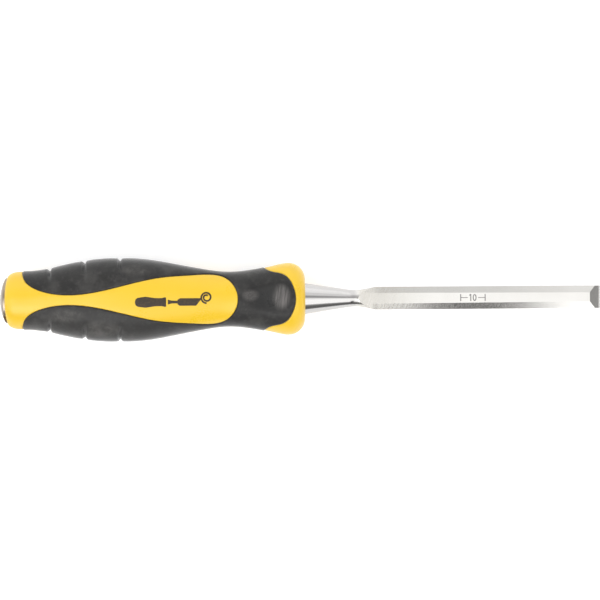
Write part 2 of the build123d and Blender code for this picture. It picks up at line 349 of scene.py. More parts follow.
def rows_beside(line, distances):
    """Copies of a line, each moved sideways by one of the distances, to both sides."""
    heading = np.gradient(line, axis=0)
    heading /= np.linalg.norm(heading, axis=1)[:, None]
    sideways = np.column_stack([-heading[:, 1], heading[:, 0]])
    return [line + side * d * sideways for d in distances for side in (1, -1)]


def border_places(crossings, rows, length):
    """Places along one long border of the map, closer together where lines cross it."""
    places = np.linspace(0, length, round(length / BORDER_STEP) + 1)
    for crossing in crossings:
        places = places[np.abs(places - crossing) > rows[-1] + WIDE_GAP]
    for crossing in crossings:
        places = np.concatenate([places, [crossing], crossing + np.array(rows), crossing - np.array(rows)])
    return np.unique(np.round(places, 6))


def inside_map(points, margin):
    """Whether places lie within the map's borders by more than a margin."""
    u, v = points.T
    return (u > margin) & (u < MAP_LENGTH - margin) & (v > margin) & (v < MAP_HEIGHT - margin)


def map_mesh():
    """Vertices (u, v) and triangles of the map, with edges along both boundary lines."""
    lines = [WINDOW_LINE, TAB_LINE]
    side = border_places([line[0, 0] for line in lines], EDGE_ROWS, MAP_LENGTH)
    for start in [line[0, 0] for line in GROOVE_LINES]:
        side = side[np.abs(side - start) > GROOVE_ROWS[-1] + NARROW_GAP]
        side = np.concatenate([side, [start + s * row for row in GROOVE_ROWS for s in (1, -1)]])
    side = np.unique(np.round(side, 6))
    front = border_places([line[-1, 0] for line in lines], EDGE_ROWS, MAP_LENGTH)
    ends = np.linspace(0, MAP_HEIGHT, round(MAP_HEIGHT / BORDER_STEP) + 1)[1:-1]
    sets = list(lines)
    sets.append(np.column_stack([side, np.zeros_like(side)]))
    sets.append(np.column_stack([front, np.full_like(front, MAP_HEIGHT)]))
    sets += [np.column_stack([np.full_like(ends, u), ends]) for u in (0, MAP_LENGTH)]
    for line in lines:
        for row in rows_beside(line, EDGE_ROWS):
            gap = np.median(distance(row, [line]))
            sets.append(row[inside_map(row, NARROW_GAP) & (distance(row, lines) > ROW_KEEP * gap)])
    beyond_edges = EDGE_ROWS[-1] + NARROW_GAP
    for line in GROOVE_LINES:
        for row in [line[1:], *rows_beside(line, GROOVE_ROWS[1:])]:
            sets.append(row[inside_map(row, WIDE_GAP) & (distance(row, lines) > beyond_edges)])
    rows = np.arange(GRID_STEP / 2, MAP_HEIGHT, GRID_STEP * math.sqrt(3) / 2)
    columns = np.arange(GRID_STEP / 2, MAP_LENGTH, GRID_STEP)
    grid = np.array([(u + GRID_STEP / 2 * (i % 2), v) for i, v in enumerate(rows) for u in columns])
    grid = grid[inside_map(grid, GRID_STEP / 2)]
    grid = grid[distance(grid, lines) > beyond_edges]
    sets.append(grid[distance(grid, GROOVE_LINES) > GROOVE_ROWS[-1] + WIDE_GAP])
    points = np.vstack(sets)
    edges = []
    start = 0
    for line in lines:
        edges += [(start + i, start + i + 1) for i in range(len(line) - 1)]
        start += len(line)
    made = delaunay_2d_cdt([Vector(p) for p in points], edges, [], 0, MERGE)
    places = np.array([tuple(p) for p in made[0]])
    for axis, value in ((0, 0.0), (0, MAP_LENGTH), (1, 0.0), (1, MAP_HEIGHT)):
        places[np.abs(places[:, axis] - value) < SNAP, axis] = value
    return places, np.array(made[2])


def rolled(distances, radius):
    """0 at an edge's foot to 1 past its rounding, as a quarter circle."""
    share = np.clip(distances / radius, 0, 1)
    return np.sqrt(1 - (1 - share) ** 2)


def bump_shape(distances, half_width):
    """1 in the middle of a groove, falling smoothly to 0 at its half width."""
    return (1 + np.cos(math.pi * np.clip(distances / half_width, 0, 1))) / 2


def grip_height(places, edge_distance):
    """Height of the grip's outside over the hard body's outer shape."""
    height = GRIP_PROUD - GRIP_EDGE_DROP * (1 - rolled(edge_distance, GRIP_EDGE_RADIUS))
    to_groove = distance(places, GROOVE_LINES)
    fade = np.clip((GROOVE_REACH - places[:, 1]) / (GROOVE_FADE * GROOVE_REACH), 0, 1)
    fade = fade**2 * (3 - 2 * fade)
    away = np.clip(edge_distance / GROOVE_EDGE_FADE, 0, 1)
    height -= GROOVE_DEPTH * away * fade * bump_shape(to_groove, GROOVE_HALF_WIDTH)
    height -= PILLOW_DEPTH * away * fade * bump_shape(to_groove, PILLOW_HALF_WIDTH)
    return height - dish_depth(places)


def dish_depth(places):
    """Depth of the thumb dish, a shallow bowl cut into the front and the back, under the outer shape."""
    x, y, z = shape_point(*places.T).T
    middle_z = np.interp(DISH_X, RINGS[:, 0], RINGS[:, 2])
    along = x - DISH_X
    floor = middle_z - DISH_DEPTH + DISH_SLOPE * along
    floor += along**2 / (2 * DISH_RADII[0]) + y**2 / (2 * DISH_RADII[1])
    floor += DISH_END_RISE * (along / DISH_HALF_LENGTH) ** 4
    depth = z - floor
    return (depth + np.sqrt(depth**2 + DISH_RIM**2)) / 2 * (np.abs(along) < 2 * DISH_HALF_LENGTH)


def core_height(edge_distance):
    """Height of the bare parts of the core over the hard body's outer shape."""
    return -CORE_EDGE_DROP * (1 - rolled(edge_distance, CORE_EDGE_RADIUS))


def lifted(places, height):
    """Points of the handle at a height over the outer shape."""
    u, v = places.T
    point, normal = shape_point(u, v), shape_normal(u, v)
    for vectors in (point, normal):
        vectors[v < TINY, 2] = 0
        vectors[v > MAP_HEIGHT - TINY, 1] = 0
    return point + normal * np.reshape(height, (-1, 1))


# Meshes


def four_quarters(points, faces):
    """A whole shape from a quarter of it, mirrored to the other side and face and joined on its seams."""
    all_points, all_faces = [], []
    for flip_y, flip_z in ((1, 1), (-1, 1), (1, -1), (-1, -1)):
        start = len(all_points) * len(points)
        all_points.append(points * (1, flip_y, flip_z))
        turned = faces if flip_y * flip_z > 0 else [face[::-1] for face in faces]
        all_faces += [[start + i for i in face] for face in turned]
    stacked = np.vstack(all_points)
    _, keep, merged = np.unique(np.round(stacked, 4) + 0.0, axis=0, return_index=True, return_inverse=True)
    merged = merged.reshape(-1)
    joined = []
    for face in all_faces:
        corners = [int(merged[i]) for i in face]
        corners = [c for i, c in enumerate(corners) if c != corners[i - 1]]
        if len(set(corners)) > 2:
            joined.append(corners)
    return stacked[keep], joined


def make_piece(name, points, faces, slot, material, sharp_angle=35.0):
    """A mesh piece from points in the tool's frame. It rides on the one body and takes the material; slot
    is not used.
    """
    mesh = bpy.data.meshes.new(name)
    mesh.from_pydata([TOOL @ Vector(p) for p in points], [], [list(f) for f in faces])
    mesh.validate()
    work = bmesh.new()
    work.from_mesh(mesh)
    bmesh.ops.recalc_face_normals(work, faces=work.faces)
    work.to_mesh(mesh)
    work.free()
    mesh.shade_smooth()
    mesh.set_sharp_from_angle(angle=math.radians(sharp_angle))
    mesh.materials.append(material)
    piece = bpy.data.objects.new(name, mesh)
    bpy.context.scene.collection.objects.link(piece)
    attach(piece, "root")
    return piece


def line_walls(low, high):
    """Faces between two rows of points of the same length."""
    return [[low[i], low[i + 1], high[i + 1], high[i]] for i in range(len(low) - 1)]


def line_corners(places, line):
    """Indices of the map's vertices that lie on a boundary line, in order along it."""
    on_line = np.where(distance(places, [line]) < SNAP)[0]
    length = run_length(line)
    ends = [np.argmin(np.linalg.norm(line - places[i], axis=1)) for i in on_line]
    return list(on_line[np.argsort(length[ends])])


def soft_grip_mesh(places, triangles, edge_distance):
    """The grip as a closed quarter: outside, the face that lies in the pocket, and the walls between."""
    count = len(places)
    outside = lifted(places, grip_height(places, edge_distance))
    inside = lifted(places, np.full(count, -POCKET_DEPTH))
    faces = [list(t) for t in triangles] + [[i + count for i in t[::-1]] for t in triangles]
    for line in (WINDOW_LINE, TAB_LINE):
        corners = line_corners(places, line)
        faces += line_walls(corners, [i + count for i in corners])
    return np.vstack([outside, inside]), faces


def lathe_rows(places, u, profile):
    """Indices of the vertices at one end of the map, and rows of points for a bore that goes on from it."""
    ring = np.where(np.abs(places[:, 0] - u) < TINY)[0]
    ring = ring[np.argsort(places[ring, 1])]
    turn = places[ring, 1] / MAP_HEIGHT * math.pi / 2
    across, up = np.cos(turn), np.sin(turn)
    across[-1], up[0] = 0, 0
    rings = [np.column_stack([np.full_like(turn, x), r * across, r * up]) for x, r in profile]
    return ring, rings


def handle_core_mesh(places, triangles, pocket, edge_distance):
    """The core as a closed quarter: its bare outside, the floor and walls of the pocket, and its bores."""
    count = len(places)
    points = [lifted(places, core_height(edge_distance)), lifted(places, np.full(count, -POCKET_DEPTH))]
    faces = [list(t) for t in triangles] + [[i + count for i in t] for t in pocket]
    for line in (WINDOW_LINE, TAB_LINE):
        corners = line_corners(places, line)
        faces += line_walls(corners, [i + count for i in corners])
    total = 2 * count
    for u, profile in ((0.0, CAP_BORE), (MAP_LENGTH, TANG_BORE)):
        last, rings = lathe_rows(places, u, profile)
        for ring in rings:
            fresh = list(range(total, total + len(ring)))
            total += len(ring)
            points.append(ring)
            faces += line_walls(list(last), fresh)
            last = fresh
    return np.vstack(points), faces


def build_handle(core_material, grip_material):
    """The core's and the grip's mouldings, which stand in for the CAD's plain ones."""
    places, triangles = map_mesh()
    middle = places[triangles].mean(axis=1)
    grip = in_grip(middle)
    edge_distance = distance(places, [WINDOW_LINE, TAB_LINE])
    core = handle_core_mesh(places, triangles[~grip], triangles[grip], edge_distance)
    piece = make_piece("handle_core_moulding", *four_quarters(*core), "hard_plastic", core_material)
    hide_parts("handle_core")
    soft = soft_grip_mesh(places, triangles[grip], edge_distance)
    whole = four_quarters(*soft)
    piece = make_piece("soft_grip_moulding", *whole, "soft_rubber", grip_material, sharp_angle=50.0)
    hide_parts("soft_grip")


# Printed marks

# Half the thickness of a mark's slab, and the spacing of its points
MARK_HALF_THICKNESS = 0.05
MARK_STEP = 0.35
# The picture on the window: a chisel, as (distance from the crown, half width), and the curl that it lifts
MARK_Y = -1.1
MARK_HANDLE = [
    (60.0, 0.2),
    (60.3, 1.3),
    (61.2, 1.9),
    (64.5, 2.35),
    (68.5, 1.75),
    (71.3, 1.7),
    (72.7, 2.1),
    (73.2, 1.9),
]
MARK_NECK = [(73.9, 1.05), (75.6, 0.62), (78.0, 0.55)]
MARK_BLADE = [(78.0, 0.9), (79.0, 1.6), (87.2, 1.6)]
MARK_BLADE_SLANT = 1.3
CURL_TURNS = 1.6
CURL_CENTRE = (90.4, 1.9)
CURL_RADII = (2.5, 0.9)
CURL_WIDTH = 0.75
CURL_POINTS = 60
# The size mark on the blade: the width in millimetres, between the two halves of a dimension line
SIZE_X = 207.0
SIZE_LINE = 5.4
SIZE_GAP = 2.3
SIZE_TALL = 3.0
SIZE_STROKE = 0.42
SIZE_THIN_STROKE = 0.7 * SIZE_STROKE
# Its numerals: the one's middle and its flag, from its top, and the nought's middle, half width and points
ONE_X = SIZE_X - 0.95
ONE_FLAG = ((-0.16, -0.08), (-0.6, -0.6))
NOUGHT_X = SIZE_X + 0.75
NOUGHT_HALF_WIDTH = 0.62
NOUGHT_POINTS = 32


def ribbon(points, width, closed=False):
    """Rows of two points, left and right of a line, a width apart."""
    points = np.asarray(points, float)
    if closed:
        points = np.vstack([points[-1:], points, points[:1]])
    heading = np.gradient(points, axis=0)
    heading /= np.linalg.norm(heading, axis=1)[:, None]
    sideways = np.column_stack([-heading[:, 1], heading[:, 0]]) * width / 2
    rows = np.stack([points + sideways, points - sideways], axis=1)
    return rows[1:-1] if closed else rows


def stencil(outline, middle_y, slant=0.0):
    """Rows across a shape even about a line along X, from (x, half width) points. Slant leans its end."""
    outline = np.asarray(outline, float)
    x = np.arange(outline[0, 0], outline[-1, 0], MARK_STEP)
    x = np.unique(np.concatenate([x, outline[:, 0]]))
    half = np.interp(x, *outline.T)
    across = np.linspace(1, -1, 2 * math.ceil(half.max() / MARK_STEP) + 1)
    lean = slant * np.clip((x - x[0]) / (x[-1] - x[0]), 0, 1)
    return np.stack([np.column_stack([x + lean * a, middle_y + half * a]) for a in across], axis=1)


def slab(rows, placed, closed=False):
    """A thin closed solid on a surface, from rows of plan points that placed(points, height) puts on it."""
    count, wide = rows.shape[:2]
    flat = rows.reshape(-1, 2)
    points = np.vstack([placed(flat, MARK_HALF_THICKNESS), placed(flat, -MARK_HALF_THICKNESS)])
    below = len(flat)
    faces = []
    for i in range(count if closed else count - 1):
        a, b = i * wide, (i + 1) % count * wide
        for j in range(wide - 1):
            faces.append([a + j, a + j + 1, b + j + 1, b + j])
            faces.append([below + a + j, below + b + j, below + b + j + 1, below + a + j + 1])
        for j in (0, wide - 1):
            faces.append([a + j, b + j, below + b + j, below + a + j])
    if not closed:
        for a in (0, (count - 1) * wide):
            faces += [[a + j, a + j + 1, below + a + j + 1, below + a + j] for j in range(wide - 1)]
    return points, faces


def joined(parts):
    """Several meshes as one list of points and one of faces."""
    points, faces, start = [], [], 0
    for part_points, part_faces in parts:
        points.append(part_points)
        faces += [[start + i for i in face] for face in part_faces]
        start += len(part_points)
    return np.vstack(points), faces


def on_window(flat, height):
    """Plan points put on the front of the bare core, and lifted off it by a height."""
    places, _ = plan_to_map(np.column_stack([flat[:, 0], np.maximum(np.abs(flat[:, 1]), SNAP)]))
    points = lifted(places, np.full(len(flat), height))
    points[:, 1] = np.copysign(points[:, 1], flat[:, 1])
    return points


def on_blade(flat, height):
    """Plan points put on the front flat of the blade, and lifted off it by a height."""
    mount = next(m for m in frame["record"]["mounts"] if m["name"] == "blade_front")
    to_tool = TOOL.inverted()
    base = np.array(to_tool @ Vector(mount["pos_m"]))
    normal = np.array((to_tool.to_3x3() @ Vector(mount["axis"])).normalized())
    drop = (normal[0] * (flat[:, 0] - base[0]) + normal[1] * (flat[:, 1] - base[1])) / normal[2]
    return np.column_stack([flat, base[2] - drop]) + normal * height


def window_mark():
    """A chisel lifting a curl of wood, printed on the window."""
    parts = [
        slab(stencil(MARK_HANDLE, MARK_Y), on_window),
        slab(stencil(MARK_NECK, MARK_Y), on_window),
        slab(stencil(MARK_BLADE, MARK_Y, MARK_BLADE_SLANT), on_window),
    ]
    share = np.linspace(0, 1, CURL_POINTS)
    turn = -math.pi / 2 - share * CURL_TURNS * 2 * math.pi
    radius = CURL_RADII[0] + (CURL_RADII[1] - CURL_RADII[0]) * share
    x = CURL_CENTRE[0] + radius * np.cos(turn)
    y = MARK_Y + CURL_CENTRE[1] + radius * np.sin(turn)
    parts.append(slab(ribbon(np.column_stack([x, y]), CURL_WIDTH), on_window))
    return joined(parts)


def size_mark():
    """The numerals 10 in the middle of a dimension line."""
    parts = []
    top, bottom = SIZE_TALL / 2, -SIZE_TALL / 2
    for side in (1, -1):
        end_x, gap_x = SIZE_X + side * SIZE_LINE, SIZE_X + side * SIZE_GAP
        parts.append(slab(ribbon([(end_x, top), (end_x, bottom)], SIZE_STROKE), on_blade))
        thin = [(gap_x, 0), (end_x - side * SIZE_STROKE / 2, 0)]
        parts.append(slab(ribbon(thin, SIZE_THIN_STROKE), on_blade))
    flag = [(ONE_X + x, top + y) for x, y in ONE_FLAG]
    parts.append(slab(ribbon([(ONE_X, bottom), (ONE_X, top)], SIZE_STROKE), on_blade))
    parts.append(slab(ribbon(flag, SIZE_STROKE), on_blade))
    turn = np.linspace(0, 2 * math.pi, NOUGHT_POINTS + 1)[:-1]
    half_height = top - SIZE_STROKE / 2
    nought = np.column_stack([NOUGHT_X + NOUGHT_HALF_WIDTH * np.cos(turn), half_height * np.sin(turn)])
    parts.append(slab(ribbon(nought, SIZE_STROKE, closed=True), on_blade, closed=True))
    return joined(parts)


# Materials

# Colours, in linear light. A pair is the two ends of a material's clouding.
YELLOW = ((0.74, 0.475, 0.018), (0.78, 0.505, 0.028))
YELLOW_SCUFFED = (0.72, 0.56, 0.2)
RUBBER = ((0.012, 0.012, 0.012), (0.022, 0.021, 0.02))
RUBBER_DUST = (0.11, 0.105, 0.1)
# Paler grey of the bloom, which also paints light onto the grip's lower side
RUBBER_BLOOM_AND_PAINTED_LIGHT = (0.085, 0.082, 0.078)
# Paler grey of the pale patches, one of them a painted highlight
RUBBER_PALE_PATCH = (0.17, 0.16, 0.15)
# Painted shade in the dish
RUBBER_DISH_SHADE = (0.01, 0.01, 0.01)
# Grey of the painted highlights on the dish's two ends
RUBBER_HIGHLIGHT_GREY = (0.15, 0.14, 0.135)
BLADE_STEEL = ((0.63, 0.615, 0.59), (0.7, 0.69, 0.665))
RUNOUT_STEEL = (0.5, 0.47, 0.41)
NECK_STEEL = (0.5, 0.49, 0.485)
CAP_STEEL = ((0.34, 0.29, 0.23), (0.14, 0.085, 0.04))
INK = ((0.022, 0.013, 0.004), (0.075, 0.042, 0.01))
ETCH = ((0.1, 0.095, 0.09), (0.3, 0.29, 0.28))
SHEET = ((0.6, 0.6, 0.6), (0.62, 0.62, 0.62))

# Places below that are pairs say where a look is gone and where it is full.

# Ovals on the rubber, seen from the front or the back: middle, half sizes. The first is a painted highlight
# on the upper side, and the other two are paler patches on the lower side. The next two ovals are painted
# highlights on the dish.
PALE_PATCHES = [
    ((60.5, 12.8), (8.5, 3.2)),
    ((30.0, -6.8), (10.0, 3.8)),
    ((45.0, -12.3), (9.5, 4.6)),
]
# Painted highlights on the dish's two ends: the right one, then the left one
DISH_RIGHT_HIGHLIGHT = ((122.6, 0.7), (4.6, 6.8))
DISH_LEFT_HIGHLIGHT = ((109.3, 1.5), (4.6, 3.2))
# Across and along the grip: where its lower side is painted paler, as painted light from below
PAINTED_LIGHT_Y = (0.0, -9.0)
PAINTED_LIGHT_END_X = (105.0, 85.0)
# Length of the dish's floor over which its ribs set in
RIB_START = 4.0

# Along the blade: the end of the neck's darker steel, the start and the end of the grinding's coarse
# run-out, and the end of the run-out's matt first part
NECK_END_X = (HANDLE_LENGTH + 24, HANDLE_LENGTH + 21)
RUNOUT_START_X = (HANDLE_LENGTH + 22.5, HANDLE_LENGTH + 25)
RUNOUT_END_X = (190.0, 162.0)
MATT_END_X = (168.0, 163.0)
# Radius of the rounding that the steel's edges are shaded with
EASED_EDGE = 0.12
# Across the strike cap: its more smudged side
CAP_SMUDGE_Y = (-3.0, -8.0)


def node(tree, kind, inputs=(), **settings):
    """A shader node with its settings, and its inputs by name or number: values, or sockets to link."""
    made = tree.nodes.new("ShaderNode" + kind)
    for name, value in settings.items():
        setattr(made, name, value)
    for name, value in dict(inputs).items():
        set_input(tree, made.inputs[name], value)
    return made


def set_input(tree, socket, value):
    """Links a node's input to a socket, or sets it to a value."""
    if isinstance(value, bpy.types.NodeSocket):
        tree.links.new(value, socket)
    elif socket.type == "RGBA":
        socket.default_value = (*value, 1)
    else:
        socket.default_value = value


def maths(tree, operation, *values, clamp=False):
    """The socket of a Math node with these inputs."""
    return node(tree, "Math", enumerate(values), operation=operation, use_clamp=clamp).outputs[0]


def remap(tree, value, low, high, to_low=0.0, to_high=1.0):
    """Value eased from low..high to to_low..to_high, and held there beyond."""
    inputs = {0: value, 1: low, 2: high, 3: to_low, 4: to_high}
    return node(tree, "MapRange", inputs, interpolation_type="SMOOTHSTEP", clamp=True).outputs[0]


def add(tree, *values):
    """The sum of some values and sockets."""
    return functools.reduce(lambda total, value: maths(tree, "ADD", total, value), values)


def times(tree, *values):
    """The product of some values and sockets."""
    return functools.reduce(lambda total, value: maths(tree, "MULTIPLY", total, value), values)


def mixed(tree, share, first, second):
    """A colour between two, by a share."""
    inputs = {0: share, 6: first, 7: second}
    return node(tree, "Mix", inputs, data_type="RGBA", clamp_factor=True).outputs[2]


def noise(tree, place, scale, detail=3.0, roughness=0.5):
    """A noise of about 0 to 1, with about scale waves to a millimetre."""
    inputs = {"Vector": place, "Scale": scale, "Detail": detail, "Roughness": roughness}
    return node(tree, "TexNoise", inputs).outputs[0]


def stretched(tree, place, per_mm, turn_z=0.0):
    """Noise coordinates with their own count per millimetre on each axis, turned about Z first."""
    turned = node(tree, "Mapping", {"Vector": place, "Rotation": (0.0, 0.0, turn_z)}).outputs[0]
    return node(tree, "Mapping", {"Vector": turned, "Scale": per_mm}).outputs[0]


def spot(tree, x, y, middle, halves):
    """1 in the middle of an oval, seen from the front or the back, eased to 0 at its edge."""
    offsets = {
        0: times(tree, maths(tree, "SUBTRACT", x, middle[0]), 1 / halves[0]),
        1: times(tree, maths(tree, "SUBTRACT", y, middle[1]), 1 / halves[1]),
    }
    offset = node(tree, "CombineXYZ", offsets).outputs[0]
    length = node(tree, "VectorMath", {0: offset}, operation="LENGTH").outputs["Value"]
    return remap(tree, length, 1.0, 0.35)


def bump(tree, height, height_mm, under=None):
    """Shading normals of a surface whose relief is height times height_mm."""
    inputs = {"Height": height, "Distance": height_mm * MM, "Strength": 1.0}
    if under is not None:
        inputs["Normal"] = under
    return node(tree, "Bump", inputs).outputs[0]


def new_material(name, **constants):
    """A material, its tree, its shader with constant inputs, and the tool's coordinates in millimetres."""
    material = bpy.data.materials.new(name)
    material.use_nodes = True
    tree = material.node_tree
    tree.nodes.clear()
    inputs = {key.replace("_", " "): value for key, value in constants.items()}
    shader = node(tree, "BsdfPrincipled", inputs)
    output = tree.nodes.new("ShaderNodeOutputMaterial")
    tree.links.new(shader.outputs[0], output.inputs[0])
    to_tool = TOOL.inverted()
    inputs = {
        "Vector": node(tree, "TexCoord").outputs["Object"],
        "Location": to_tool.translation,
        "Rotation": to_tool.to_euler(),
        "Scale": (1 / MM, 1 / MM, 1 / MM),
    }
    return material, tree, shader, node(tree, "Mapping", inputs).outputs[0]


def link_shader(tree, shader, colour, roughness, normal):
    """Links what varies over a surface to its shader."""
    tree.links.new(colour, shader.inputs["Base Color"])
    tree.links.new(roughness, shader.inputs["Roughness"])
    tree.links.new(normal, shader.inputs["Normal"])


def hard_yellow():
    """Moulded yellow plastic: glossy, a little mottled, with a fine mould grain and light scuffs."""
    material, tree, shader, place = new_material("hard_yellow_plastic", IOR=1.5)
    cloud = noise(tree, place, 0.06, 4.0)
    grain = noise(tree, place, 2.6, 2.0)
    scuff = noise(tree, stretched(tree, place, (0.14, 0.9, 0.9), 0.35), 1.0, 5.0, 0.7)
    wear_and_highlight = remap(tree, scuff, 0.6, 0.78)
    colour = mixed(tree, cloud, *YELLOW)
    colour = mixed(tree, times(tree, wear_and_highlight, 0.1), colour, YELLOW_SCUFFED)
    rough = remap(tree, cloud, 0.3, 0.7, 0.24, 0.33)
    rough = add(tree, rough, times(tree, wear_and_highlight, 0.16), times(tree, grain, 0.06))
    normal = bump(tree, noise(tree, place, 0.26, 2.0), 0.03)
    normal = bump(tree, grain, 0.008, normal)
    link_shader(tree, shader, colour, rough, normal)
    return material


def soft_black():
    """Soft black over-moulding: a fine stippled skin, dusty in places, polished and ribbed in the dish,
    with painted light.
    """
    constants = {"IOR": 1.5, "Specular_IOR_Level": 0.27, "Sheen_Weight": 0.68, "Sheen_Roughness": 0.3}
    material, tree, shader, place = new_material("soft_black_rubber", **constants)
    x, y, _ = node(tree, "SeparateXYZ", {0: place}).outputs
    cells = node(tree, "TexVoronoi", {"Vector": place, "Scale": 2.3, "Randomness": 1.0}).outputs["Distance"]
    cloud = noise(tree, place, 0.075, 4.0, 0.6)
    fine = noise(tree, place, 1.6, 3.0)
    dust = remap(tree, noise(tree, place, 0.4, 6.0, 0.75), 0.46, 0.8)
    bloom_and_painted_light = remap(tree, noise(tree, place, 0.085, 5.0, 0.55), 0.48, 0.74)
    # Painted light: the lower side is made paler with the bloom's colour, as if lit from below
    painted_light_low_side = times(tree, remap(tree, y, *PAINTED_LIGHT_Y), remap(tree, x, *PAINTED_LIGHT_END_X), 0.5)
    bloom_and_painted_light = add(tree, bloom_and_painted_light, painted_light_low_side)
    # Pale patches, the first of them a painted highlight on the upper side
    patch_mask = add(tree, *[spot(tree, x, y, *oval) for oval in PALE_PATCHES])
    patchy = remap(tree, noise(tree, place, 0.22, 5.0, 0.65), 0.36, 0.62, 0.25, 1.0)
    patch_mask = times(tree, patch_mask, patchy, 0.27)
    dish_polish_and_shade = spot(tree, x, y, (DISH_X, 0.0), (DISH_HALF_LENGTH, DISH_HALF_WIDTH))
    ribs = noise(tree, stretched(tree, place, (1.6, 0.12, 0.12), 0.12), 1.0, 2.0, 0.4)
    ribbed = times(tree, dish_polish_and_shade, remap(tree, x, DISH_X, DISH_X + RIB_START))
    # Painted highlights on the dish's ends, the right one striped by the ribs
    right_highlight = times(tree, spot(tree, x, y, *DISH_RIGHT_HIGHLIGHT), remap(tree, ribs, 0.25, 0.7, 0.35, 1.0))
    left_highlight = times(tree, spot(tree, x, y, *DISH_LEFT_HIGHLIGHT), remap(tree, fine, 0.3, 0.7, 0.6, 1.0))
    wear_and_highlight = add(tree, times(tree, right_highlight, 0.85), times(tree, left_highlight, 0.42))
    colour = mixed(tree, cloud, *RUBBER)
    colour = mixed(tree, times(tree, dust, 0.3), colour, RUBBER_DUST)
    colour = mixed(tree, times(tree, bloom_and_painted_light, 0.4), colour, RUBBER_BLOOM_AND_PAINTED_LIGHT)
    colour = mixed(tree, patch_mask, colour, RUBBER_PALE_PATCH)
    # Painted shade: the dish's colour is darkened here; its lower roughness below is real polish
    colour = mixed(tree, times(tree, dish_polish_and_shade, 0.8), colour, RUBBER_DISH_SHADE)
    colour = mixed(tree, wear_and_highlight, colour, RUBBER_HIGHLIGHT_GREY)
    rough = remap(tree, cloud, 0.25, 0.75, 0.4, 0.5)
    rough = add(tree, rough, times(tree, dust, 0.12), times(tree, dish_polish_and_shade, -0.18))
    normal = bump(tree, noise(tree, place, 0.2, 3.0), 0.12)
    normal = bump(tree, times(tree, ribs, ribbed), 0.1, normal)
    normal = bump(tree, cells, 0.03, normal)
    normal = bump(tree, fine, 0.02, normal)
    link_shader(tree, shader, colour, rough, normal)
    return material


def ground_steel():
    """Ground tool steel: fine slanted marks, coarser at the run-out, faint scratches along, eased edges."""
    material, tree, shader, place = new_material("ground_blade_steel", Metallic=1.0)
    x = node(tree, "SeparateXYZ", {0: place}).outputs[0]
    slanted = noise(tree, stretched(tree, place, (7.0, 0.3, 0.3), 0.3), 1.0, 4.0, 0.6)
    coarse = noise(tree, stretched(tree, place, (1.6, 0.2, 0.2), 0.45), 1.0, 4.0, 0.65)
    along = noise(tree, stretched(tree, place, (0.12, 7.0, 7.0)), 1.0, 3.0, 0.6)
    cloud = noise(tree, place, 0.09, 4.0)
    scratch = remap(tree, along, 0.66, 0.76)
    runout = times(tree, remap(tree, x, *RUNOUT_START_X), remap(tree, x, *RUNOUT_END_X))
    matt = times(tree, runout, remap(tree, x, *MATT_END_X))
    neck = remap(tree, x, *NECK_END_X)
    colour = mixed(tree, cloud, *BLADE_STEEL)
    colour = mixed(tree, times(tree, runout, coarse, 0.8), colour, RUNOUT_STEEL)
    colour = mixed(tree, times(tree, neck, 0.9), colour, NECK_STEEL)
    rough = remap(tree, slanted, 0.25, 0.75, 0.08, 0.15)
    rough = add(tree, rough, times(tree, scratch, 0.1), times(tree, runout, 0.07), times(tree, matt, 0.07))
    eased = node(tree, "Bevel", {"Radius": EASED_EDGE * MM}, samples=4).outputs[0]
    normal = bump(tree, slanted, 0.003, eased)
    normal = bump(tree, times(tree, coarse, runout), 0.03, normal)
    link_shader(tree, shader, colour, rough, normal)
    return material


def cap_steel():
    """Turned steel: fine rings about the tool's axis, dark smudges, and dents from a mallet."""
    material, tree, shader, place = new_material("turned_cap_steel", Metallic=1.0)
    from_axis = node(tree, "VectorMath", {0: place, 1: (0.0, 1.0, 1.0)}, operation="MULTIPLY").outputs[0]
    radius = node(tree, "VectorMath", {0: from_axis}, operation="LENGTH").outputs["Value"]
    rings = noise(tree, node(tree, "CombineXYZ", {0: radius}).outputs[0], 9.0, 2.0)
    dents = noise(tree, place, 0.5, 3.0, 0.6)
    y = node(tree, "SeparateXYZ", {0: place}).outputs[1]
    patch_mask = add(tree, noise(tree, place, 0.3, 4.0, 0.6), remap(tree, y, *CAP_SMUDGE_Y, -0.12, 0.14))
    patch_mask = remap(tree, patch_mask, 0.5, 0.62)
    colour = mixed(tree, patch_mask, *CAP_STEEL)
    rough = add(tree, remap(tree, rings, 0.3, 0.7, 0.28, 0.42), times(tree, patch_mask, 0.2))
    normal = bump(tree, dents, 0.05, bump(tree, rings, 0.006))
    link_shader(tree, shader, colour, rough, normal)
    return material


def dark_ink():
    """Pad-printed ink, thin and browner in places."""
    material, tree, shader, place = new_material("dark_brown_ink", IOR=1.5)
    patch = noise(tree, place, 1.1, 4.0, 0.7)
    colour = mixed(tree, remap(tree, patch, 0.45, 0.75), *INK)
    rough = remap(tree, patch, 0.2, 0.8, 0.35, 0.55)
    link_shader(tree, shader, colour, rough, bump(tree, patch, 0.01))
    return material


def grey_etch():
    """Etched steel: matt, grey and uneven."""
    material, tree, shader, place = new_material("grey_etched_steel", Metallic=0.7)
    patch = noise(tree, place, 2.2, 4.0, 0.7)
    colour = mixed(tree, patch, *ETCH)
    rough = remap(tree, patch, 0.2, 0.8, 0.45, 0.65)
    link_shader(tree, shader, colour, rough, bump(tree, patch, 0.01))
    return material


def dress_cad_node(name, material):
    """Keeps a CAD node's shape and gives it this material."""
    mesh = frame["nodes"][name].data
    mesh.materials.clear()
    mesh.materials.append(material)


build_handle(hard_yellow(), soft_black())
dress_cad_node("blade", ground_steel())
dress_cad_node("strike_cap", cap_steel())
make_piece("window_print", *window_mark(), "hard_plastic", dark_ink())
make_piece("blade_size_etch", *size_mark(), "ground_steel", grey_etch())


# Floor, light and camera

# Half the side of the floor, in metres, and how brightly it glows
FLOOR_HALF = 3.0
FLOOR_GLOW = 0.56
